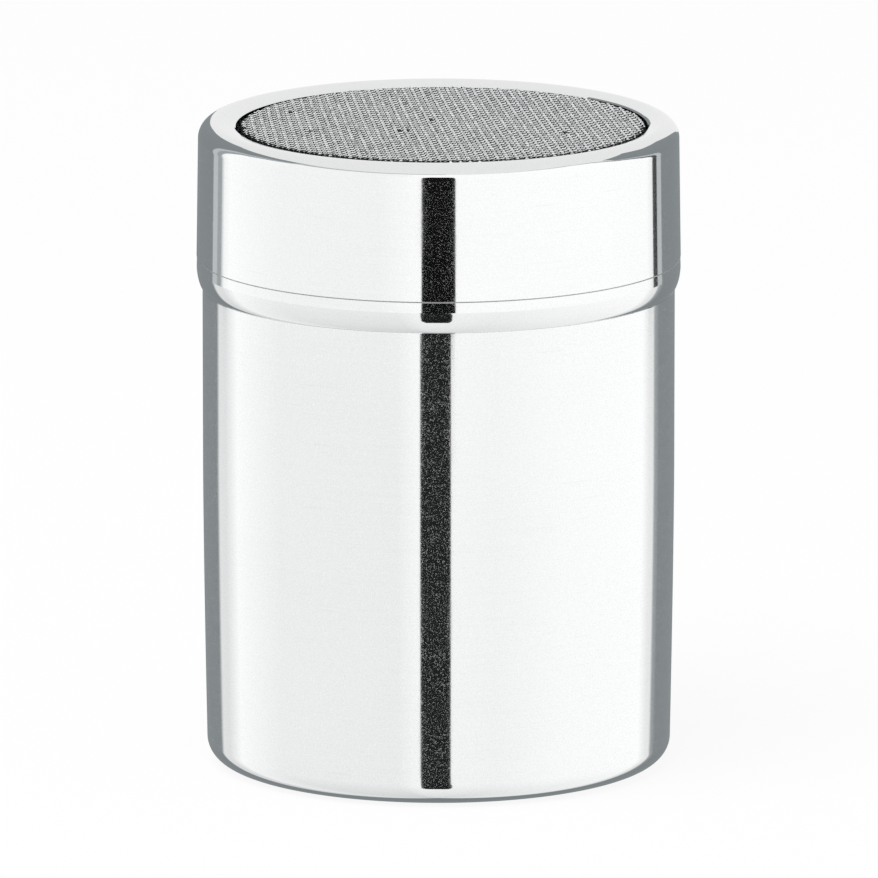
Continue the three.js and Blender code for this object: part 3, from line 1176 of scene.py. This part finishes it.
@dataclass(frozen=True)
class Studio:
    """White table, soft light, reflectors and the camera of the photograph."""

    camera_distance: float = 2.5
    camera_elevation: float = 11.9
    lens: float = 707.5
    aim: Place = (0.00005, 0.0, 0.04698)
    lamp_size: float = 1.4
    lamp_power: float = 14.0
    lamp_place: Place = (-0.5, -0.6, 1.6)
    table_half_width: float = 4.0
    table_height: float = -0.2 * MM
    table_white_share: float = 0.86
    table_tone: float = 0.9
    card_middle: float = 0.05
    card_distance: float = 3.4
    card_spacing: float = 0.02
    grey: Colour = (0.262, 0.288, 0.297)
    ambient: float = 0.75
    cards: tuple[Card, ...] = (
        Card("overhead_card", tones=((-180.0, 0.92), (180.0, 0.92)), low=((0.0, -12.0),),
             high=((0.0, 89.9),)),
        Card("rear_card", tones=((100.0, 0.28), (270.0, 0.28)), low=((100.0, -89.9),),
             high=((100.0, 37.5), (127.0, 39.0), (133.0, 30.0), (148.0, 24.0), (165.0, -3.0), (172.0, -8.0),
                   (180.0, -9.0), (184.0, -4.0), (187.0, 9.0), (191.0, 16.0), (203.0, 27.0), (212.0, 34.0),
                   (234.0, 42.0), (254.0, 47.0), (270.0, 49.0)),
             low_share=0.82),
        Card("seam_card", tones=((-92.0, 0.5), (-70.0, 0.6), (4.0, 0.6)), low=((0.0, 40.0),),
             high=((0.0, 49.0),)),
        Card("wall_card",
             tones=((-138.5, 0.28), (-135.5, 0.86), (-128.0, 0.85), (-122.0, 0.98), (-116.0, 1.13),
                    (-84.0, 0.99), (-20.0, 0.98), (-10.0, 1.09), (28.0, 1.05), (63.0, 1.12), (118.0, 1.16),
                    (125.0, 0.95), (129.5, 0.9), (131.5, 0.4), (136.0, 0.3)),
             low=((0.0, -89.9),), high=((0.0, -10.9),), low_share=0.75),
        Card("frame_card", tones=((-136.5, 0.57), (133.0, 0.56)), low=((0.0, -10.9),),
             high=((-136.5, -5.0), (-132.0, 11.0), (-124.0, 26.0), (-110.0, 36.0), (-85.0, 45.0),
                   (80.0, 45.0), (93.0, 40.0), (101.0, 25.0), (118.0, 8.0), (129.0, 0.0), (133.0, -8.0))),
        Card("line_card", tones=((-131.0, 0.4), (-120.0, 0.4), (118.0, 0.15), (128.0, 0.04)),
             low=((0.0, -10.9),),
             high=((-131.0, -6.0), (-127.5, 9.0), (-120.0, 24.0), (-107.0, 34.0), (-85.0, 43.5),
                   (78.0, 43.5), (92.0, 38.5), (99.0, 24.0), (115.0, 6.0), (125.0, -2.0), (128.0, -8.0))),
        Card("front_card",
             tones=((-126.5, 0.6), (-123.8, 1.05), (-118.0, 1.15), (-81.0, 1.05), (-28.0, 1.04),
                    (-11.0, 1.13), (84.0, 1.16), (118.0, 1.14), (123.5, 0.97)),
             low=((0.0, -10.9),),
             high=((-126.5, -6.0), (-122.0, 8.0), (-115.0, 22.0), (-104.0, 32.0), (-85.0, 42.5),
                   (0.0, 45.0), (80.0, 42.5), (91.0, 37.5), (98.0, 22.5), (113.0, 4.0), (121.0, -3.0),
                   (123.5, -8.0))),
        Card("slot_for_body", tones=((-8.9, 0.016), (5.9, 0.016)), low=((0.0, -17.0),),
             high=((0.0, -10.9),)),
        Card("slot_for_bead", tones=((-8.7, 0.014), (6.7, 0.014)),
             low=((-8.7, -31.0), (-6.5, -35.0), (5.2, -35.0), (6.7, -31.0)),
             high=((0.0, -17.0), (5.9, -17.0), (6.7, -20.0))),
        Card("slot_for_lid", tones=((-8.0, 0.01), (7.6, 0.01)), low=((0.0, -10.9),),
             high=((0.0, -10.1),)),
        Card("slot_above", tones=((-8.0, 0.005), (7.9, 0.005)), low=((0.0, -10.1),),
             high=((-8.0, 23.0), (-6.8, 26.0), (-4.0, 27.5), (4.0, 27.5), (7.0, 26.0), (7.9, 23.0))),
    )

    def tint(self, tone: float) -> Colour:
        """Gives a tone its colour: cool where it is grey, neutral where it is white or black."""
        middle = sum(self.grey) / 3
        share = max(0.0, 1.0 - abs(tone - middle) / 0.6)
        return tuple(tone * (1 + share * (c / middle - 1)) for c in self.grey)

    def reflector_material(self) -> bpy.types.Material:
        """Builds the cards' material, whose brightness is the mesh's own tone attribute.

        Returns:
            The material.
        """
        material, wiring = new_material("Reflector tones")
        material.node_tree.nodes.remove(material.node_tree.nodes["Principled BSDF"])
        tone = wiring.add("ShaderNodeAttribute", attribute_name="tone").outputs["Color"]
        light = wiring.add("ShaderNodeEmission", {"Color": tone, "Strength": 1.0})
        wiring.feed(material.node_tree.nodes["Material Output"].inputs["Surface"], light.outputs[0])
        return material

    def hang_card(self, card: Card, distance: float, material: bpy.types.Material) -> None:
        """Hangs one card, which only reflections show.

        Args:
            card: the card.
            distance: how far it hangs from the shaker.
            material: the cards' material.
        """
        grid = card.grid()
        points, tones = [], []
        for column in grid:
            for azimuth, elevation, tone in column:
                turn, rise = math.radians(azimuth), math.radians(elevation)
                flat = distance * math.cos(rise)
                height = self.card_middle + distance * math.sin(rise)
                points.append((flat * math.sin(turn), -flat * math.cos(turn), height))
                tones.append(self.tint(tone))
        high = len(grid[0])
        faces = [(i * high + j, (i + 1) * high + j, (i + 1) * high + j + 1, i * high + j + 1)
                 for i in range(len(grid) - 1) for j in range(high - 1)]
        hung = new_piece(card.name, points, faces)
        colours = hung.data.attributes.new("tone", "FLOAT_COLOR", "POINT")
        colours.data.foreach_set("color", [c for tone in tones for c in (*tone, 1.0)])
        hung.data.materials.append(material)
        hung.visible_camera = hung.visible_diffuse = hung.visible_shadow = hung.visible_transmission = False

    def build_cards(self) -> None:
        """Hangs the cards, each a little nearer than the one before it, which it covers where they meet."""
        material = self.reflector_material()
        for place, card in enumerate(self.cards):
            self.hang_card(card, self.card_distance - self.card_spacing * place, material)

    def build_table(self) -> None:
        """Lays the white table, which keeps the shaker's soft shadow."""
        half, height = self.table_half_width, self.table_height
        corners = [(-half, -half, height), (half, -half, height), (half, half, height), (-half, half, height)]
        table = new_piece("white_table", corners, [(0, 1, 2, 3)])
        material, wiring = new_material("White table")
        nodes = material.node_tree.nodes
        nodes.remove(nodes["Principled BSDF"])
        rays = wiring.add("ShaderNodeLightPath").outputs
        tone = self.table_tone
        matt = wiring.add("ShaderNodeBsdfDiffuse", {"Color": (tone, tone, tone, 1.0)})
        white = wiring.add("ShaderNodeEmission", {"Color": (1.0, 1.0, 1.0, 1.0), "Strength": 1.0})
        seen = wiring.product(rays["Is Camera Ray"], self.table_white_share)
        mixed = wiring.add("ShaderNodeMixShader", {0: seen, 1: matt.outputs[0], 2: white.outputs[0]})
        wiring.feed(nodes["Material Output"].inputs["Surface"], mixed.outputs[0])
        table.data.materials.append(material)
        table.visible_glossy = False

    def build_light(self) -> None:
        """Adds the white surroundings and one large soft lamp."""
        world = bpy.data.worlds.new("White studio")
        bpy.context.scene.world = world
        world.use_nodes = True
        wiring = Wiring(world.node_tree)
        rays = wiring.add("ShaderNodeLightPath").outputs
        shown = wiring.math("MAXIMUM", rays["Is Camera Ray"],
                            wiring.math("MAXIMUM", rays["Is Glossy Ray"], rays["Is Transmission Ray"]))
        strength = wiring.ramp(shown, 0.0, 1.0, self.ambient, 1.0, "LINEAR")
        background = world.node_tree.nodes["Background"]
        background.inputs["Color"].default_value = (1.0, 1.0, 1.0, 1.0)
        wiring.feed(background.inputs["Strength"], strength)
        lamp = bpy.data.lights.new("soft_lamp", "AREA")
        lamp.shape, lamp.size, lamp.energy = "DISK", self.lamp_size, self.lamp_power
        holder = bpy.data.objects.new("soft_lamp", lamp)
        holder.location = self.lamp_place
        holder.rotation_euler = (-Vector(holder.location)).to_track_quat("-Z", "Y").to_euler()
        holder.visible_glossy = False
        bpy.context.scene.collection.objects.link(holder)

    def build_camera(self) -> None:
        """Sets the camera where the photograph's was."""
        lens = bpy.data.cameras.new("photo_camera")
        lens.lens, lens.sensor_width = self.lens, 36.0
        lens.clip_start, lens.clip_end = 0.1, 20.0
        camera = bpy.data.objects.new("photo_camera", lens)
        rise = math.radians(self.camera_elevation)
        away = Vector((0.0, -math.cos(rise), math.sin(rise)))
        camera.location = Vector(self.aim) + away * self.camera_distance
        camera.rotation_euler = (-away).to_track_quat("-Z", "Y").to_euler()
        bpy.context.scene.collection.objects.link(camera)
        bpy.context.scene.camera = camera

    def build(self) -> None:
        """Sets up the whole studio."""
        settings = bpy.context.scene.view_settings
        settings.view_transform = "Standard"
        self.build_camera()
        self.build_table()
        self.build_light()
        self.build_cards()


def main() -> None:
    """Builds the shaker in order, then its studio."""
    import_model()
    marks = polish_marks()
    thread_maker, cloth_maker = thread_tree(), cloth_tree()
    canister_steel = SteelSheet("Canister steel", (0.882, 0.888, 0.892), roughness=0.05,
                                inner_roughness=0.2, grain_haze=0.2).build(marks)
    lid_steel = SteelSheet("Lid steel", (0.872, 0.877, 0.881), roughness=0.045,
                           inner_roughness=0.2, grain_haze=0.11).build(marks)
    satin = {
        "inner_roughness": 0.3, "grain_haze": 0.1, "grain_scale": 1800.0, "line_tint": 0.12,
        "smudge_roughness": 0.08, "bump": 0.25,
    }
    sleeve_steel = SteelSheet("Sleeve steel", (0.72, 0.73, 0.74), roughness=0.26, **satin).build(marks)
    ring_steel = SteelSheet("Ring steel", (0.7, 0.71, 0.72), roughness=0.3, **satin).build(marks)
    thread, canister, lid = ScrewThread(), Canister(), LidSkin()
    canister.build(thread_maker, thread, canister_steel)
    lid.build(lid_steel)
    InnerSleeve().build(thread_maker, thread, lid, canister.shoulder_top, sleeve_steel)
    screen = ScreenPack()
    screen.build_ring(ring_steel)
    screen.build_cloth(cloth_maker, {
        Layer.ACROSS: DrawnWire("Cross wire").build(),
        Layer.FRONT_TO_BACK: DrawnWire("Long wire").build(),
    })
    Studio().build()


if __name__ == "__main__":
    main()
